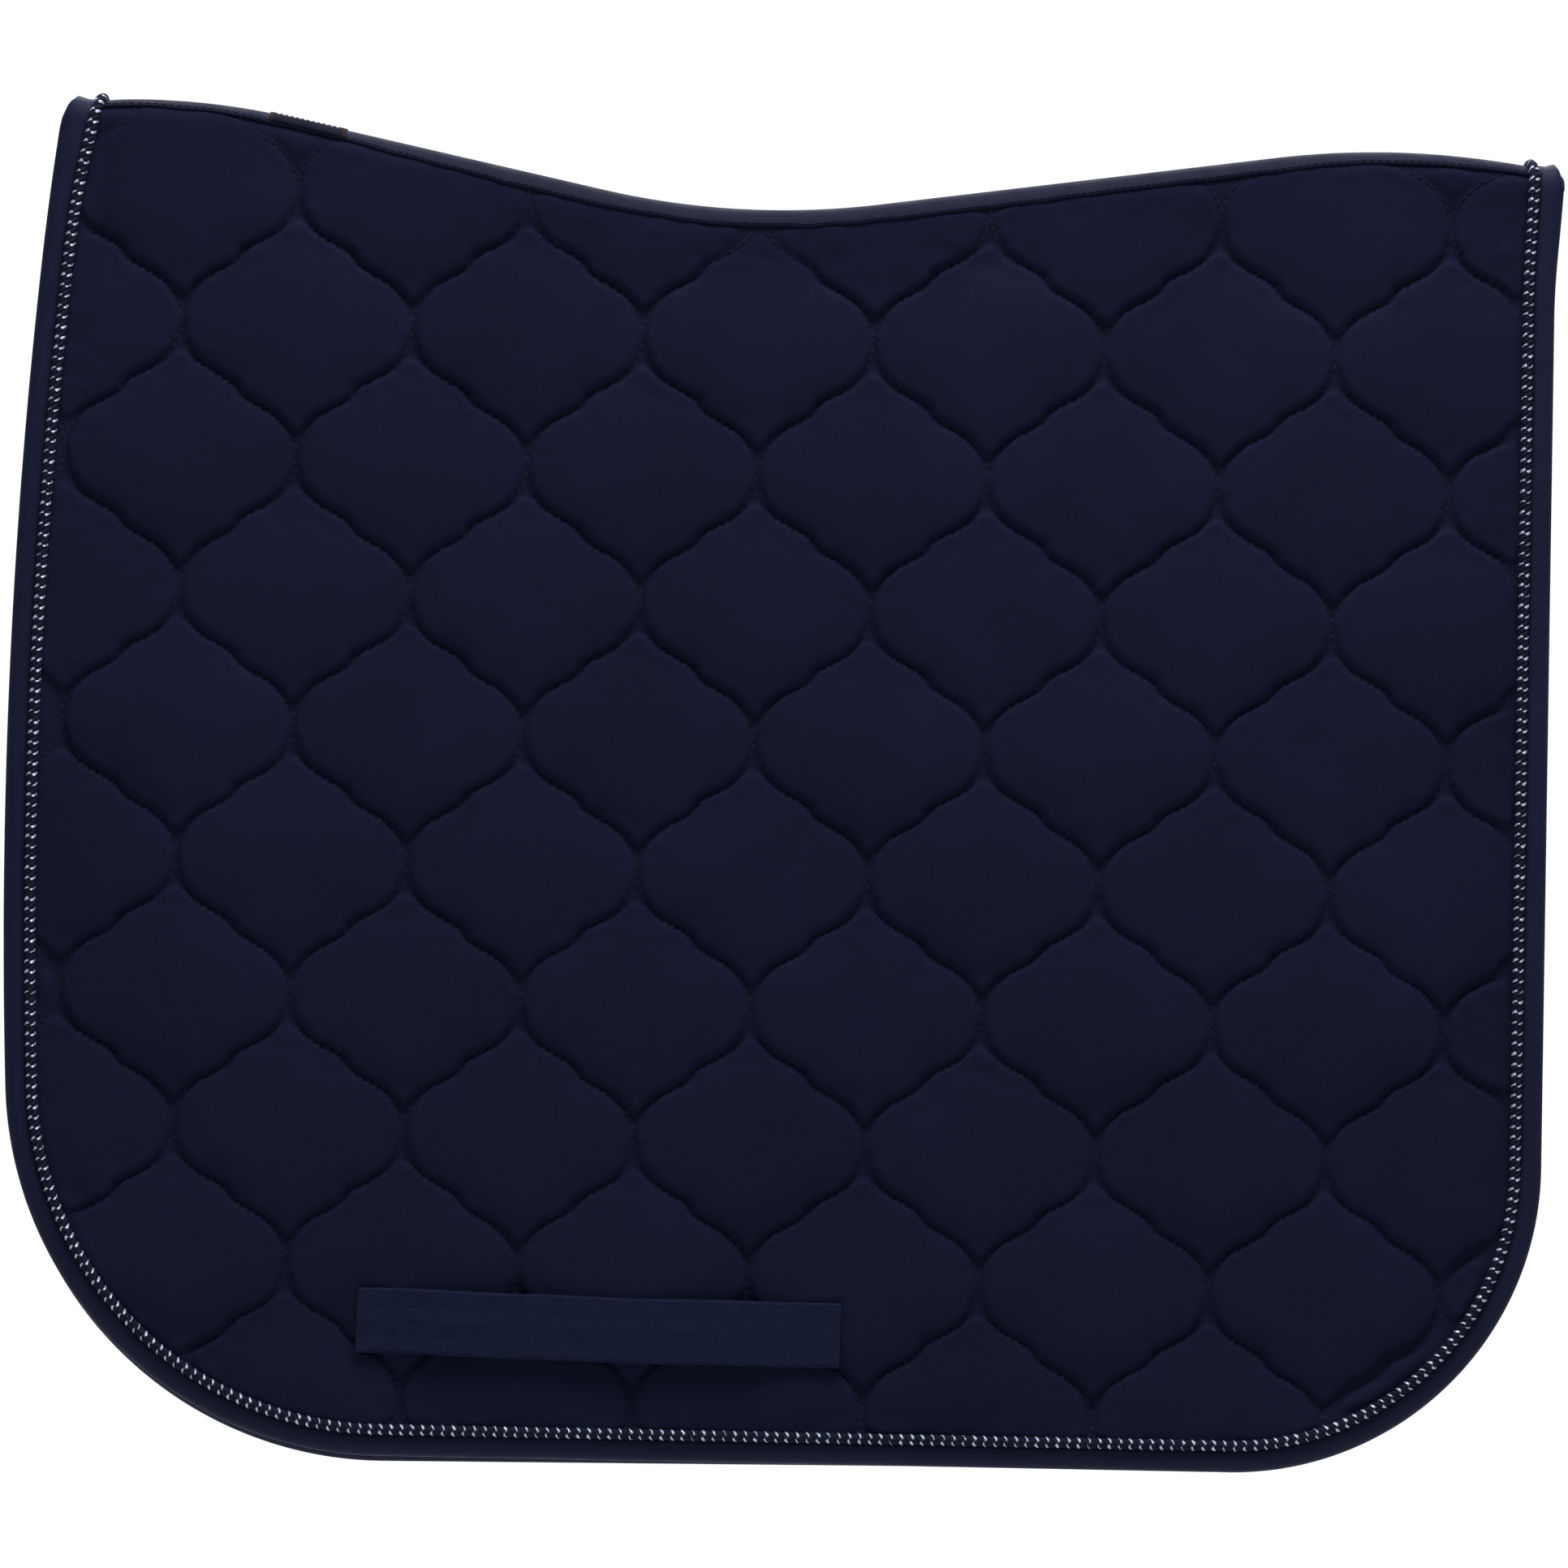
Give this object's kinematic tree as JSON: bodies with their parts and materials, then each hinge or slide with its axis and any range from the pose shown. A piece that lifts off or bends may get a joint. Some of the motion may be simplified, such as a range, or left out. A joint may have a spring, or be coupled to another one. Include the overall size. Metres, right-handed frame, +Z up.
{
  "type": "saddle pad",
  "caption": "Quilted dressage saddle pad folded along its contoured spine, with two square flaps, satin edge binding, twisted cord trim and a sewn webbing girth loop on each flap.",
  "frame": {"origin": "underside of the fold at the lowest point of the spine, where the horse's back or a rack carries the pad", "axes": "+X along the spine from the withers to the loin, +Y from the left flap to the right flap, +Z up with both flaps hanging down"},
  "size_m": [0.5962, 0.0334, 0.5243],
  "materials": {
    "shell_fabric": "fine cotton satin, quilted in lantern cells, very dark navy with a faint sheen",
    "wadding": "polyester wadding, white, hidden inside",
    "lining_cotton": "brushed cotton, matt navy",
    "binding_satin": "smooth satin tape, dark navy, soft gloss",
    "twisted_cord": "twisted cord of navy and silver lurex strands",
    "webbing": "25 mm herringbone webbing, blue navy",
    "thread": "polyester sewing thread, navy",
    "label_fabric": "woven satin label, blank, near black",
    "label_thread": "white sewing thread"
  },
  "bodies": {
    "spine": {"spine_seam_allowance": "wadding", "spine_tape_outer": "binding_satin", "spine_tape_inner": "binding_satin", "spine_tape_stitching": "thread", "label_patch": "label_fabric", "label_stitching": "label_thread", "withers_binding_fold": "binding_satin", "loin_binding_fold": "binding_satin", "withers_cord_fold": "twisted_cord", "loin_cord_fold": "twisted_cord"},
    "left_flap": {"left_lining": "lining_cotton", "left_padding": "wadding", "left_outer_shell": "shell_fabric", "left_edge_binding": "binding_satin", "left_binding_stitching": "thread", "left_quilting_stitching": "thread", "left_edge_cord": "twisted_cord", "left_girth_strap": "webbing", "left_girth_strap_stitching": "thread"},
    "right_flap": {"right_lining": "lining_cotton", "right_padding": "wadding", "right_outer_shell": "shell_fabric", "right_edge_binding": "binding_satin", "right_binding_stitching": "thread", "right_quilting_stitching": "thread", "right_edge_cord": "twisted_cord", "right_girth_strap": "webbing", "right_girth_strap_stitching": "thread"}
  },
  "joints": [
    {"name": "left_flap_swing", "type": "hinge", "parent": "spine", "child": "left_flap", "pos_m": [0, -0.0101, 0.0348], "axis": [-1, 0, 0], "range_deg": [0, 60], "deforming": ["left_edge_cord"]},
    {"name": "right_flap_swing", "type": "hinge", "parent": "spine", "child": "right_flap", "pos_m": [0, 0.0101, 0.0348], "axis": [1, 0, 0], "range_deg": [0, 60], "deforming": ["right_edge_cord"]}
  ]
}
